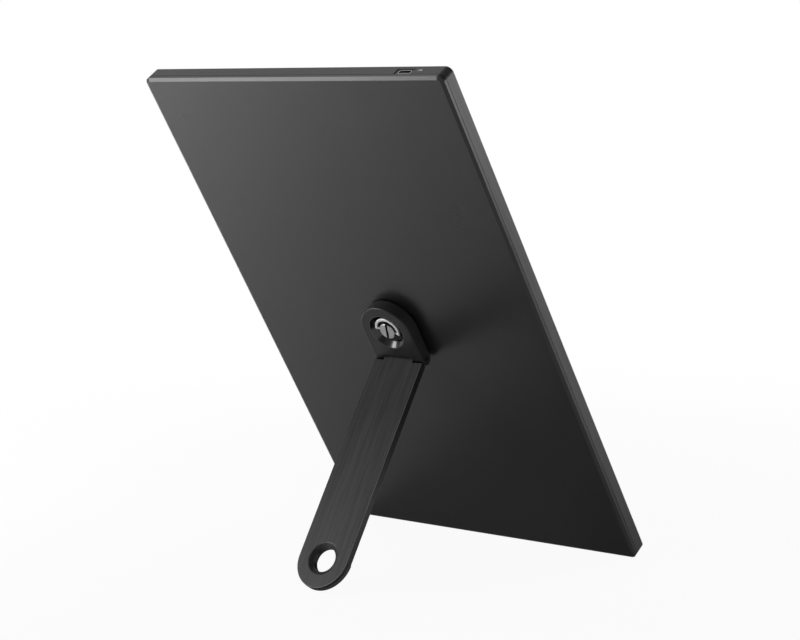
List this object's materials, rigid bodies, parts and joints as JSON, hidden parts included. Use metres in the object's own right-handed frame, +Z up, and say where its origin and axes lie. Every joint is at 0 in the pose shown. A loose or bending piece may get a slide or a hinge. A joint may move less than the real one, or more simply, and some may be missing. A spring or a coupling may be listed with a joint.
{
  "type": "portable monitor",
  "caption": "Slim portable monitor with a folding, swivelling kickstand arm held to its back by a ring-headed clamp screw, standing upright in portrait.",
  "frame": {"origin": "middle of the bounding box's bottom face, on the ground that the cover's lower back edge and the arm's foot stand on", "axes": "+Z up, the screen faces -Y and up, the back and the stand face +Y, +X to the right seen from the front"},
  "size_m": [0.228, 0.1998, 0.31],
  "materials": {
    "casing": "fine satin dark grey with a faint metallic sheen, bright bevelled back edge",
    "screen_glass": "dark anti-glare screen, switched off",
    "optical_film": "milky sheet plastic",
    "tray_metal": "plain rolled sheet",
    "circuit_board": "green solder mask",
    "chip_plastic": "black moulded package",
    "led_resin": "yellowish LED resin",
    "flat_cable": "amber polyimide film",
    "inlet_steel": "stamped stainless shell",
    "light_window": "milky clear light pipe",
    "screw_steel": "plain steel",
    "nut_brass": "turned brass",
    "head_metal": "dark anodised, fine satin",
    "arm_metal": "dark anodised, brushed along its length",
    "pad_rubber": "matt black rubber",
    "cup_polish": "polished spun cup",
    "screw_polish": "bright turned steel",
    "key_plastic": "satin dark grey"
  },
  "bodies": {
    "monitor": {"rear_cover": "casing", "front_frame": "casing", "lcd_cell": "screen_glass", "diffuser_sheet": "optical_film", "prism_sheet": "optical_film", "light_guide": "optical_film", "reflector_sheet": "optical_film", "led_bar": "circuit_board", "backlight_leds": "led_resin", "backlight_tray": "tray_metal", "driver_board": "circuit_board", "driver_films": "flat_cable", "driver_chips": "chip_plastic", "display_ribbon": "flat_cable", "main_board": "circuit_board", "main_board_chips": "chip_plastic", "ribbon_socket": "chip_plastic", "usb_c_shell": "inlet_steel", "usb_c_tongue": "chip_plastic", "status_led": "led_resin", "led_light_pipe": "light_window", "key_board": "circuit_board", "tact_switches": "chip_plastic", "key_ribbon": "flat_cable", "board_screws": "screw_steel", "socket_plate": "tray_metal", "plate_screws": "screw_steel", "tripod_nut": "nut_brass"},
    "stand_head": {"head_plate": "head_metal", "friction_pad": "pad_rubber", "well_liner": "cup_polish", "hinge_pin": "screw_steel", "friction_washers": "screw_steel"},
    "stand_arm": {"arm_bar": "arm_metal", "rubber_foot": "pad_rubber"},
    "screw_keeper": {"screw_washer": "screw_steel"},
    "screw": {"clamp_screw": "screw_polish"},
    "ring": {"screw_ring": "screw_polish"},
    "power_key": {"power_button": "key_plastic"},
    "menu_key": {"menu_button": "key_plastic"}
  },
  "joints": [
    {"name": "stand_swivel", "type": "hinge", "parent": "monitor", "child": "stand_head", "pos_m": [0, 0.00507, 0.15185], "axis": [0, 0.8469, -0.5318], "continuous": true},
    {"name": "arm_fold", "type": "hinge", "parent": "stand_head", "child": "stand_arm", "pos_m": [0, -0.00271, 0.13006], "axis": [1, 0, 0], "range_deg": [-66.35, 23.65]},
    {"name": "screw_lift", "type": "slide", "parent": "stand_head", "child": "screw_keeper", "axis": [0, 0.8469, -0.5318], "range_m": [0, 0.00115]},
    {"name": "screw_turn", "type": "hinge", "parent": "screw_keeper", "child": "screw", "pos_m": [0, 0.00507, 0.15185], "axis": [0, 0.8469, -0.5318], "range_deg": [0, 325.5]},
    {"name": "ring_flip", "type": "hinge", "parent": "screw", "child": "ring", "pos_m": [0, 0.01134, 0.14792], "axis": [-0.9681, -0.1331, -0.212], "range_deg": [0, 180]},
    {"name": "power_press", "type": "slide", "parent": "monitor", "child": "power_key", "axis": [0, 0.5318, 0.8469], "range_m": [0, 0.0006], "stiffness_N_per_m": 1500},
    {"name": "menu_press", "type": "slide", "parent": "monitor", "child": "menu_key", "axis": [0, 0.5318, 0.8469], "range_m": [0, 0.0006], "stiffness_N_per_m": 1500}
  ],
  "couplings": [
    {"joint": "screw_lift", "follows": "screw_turn", "m_per_rad": 0.00020213}
  ]
}
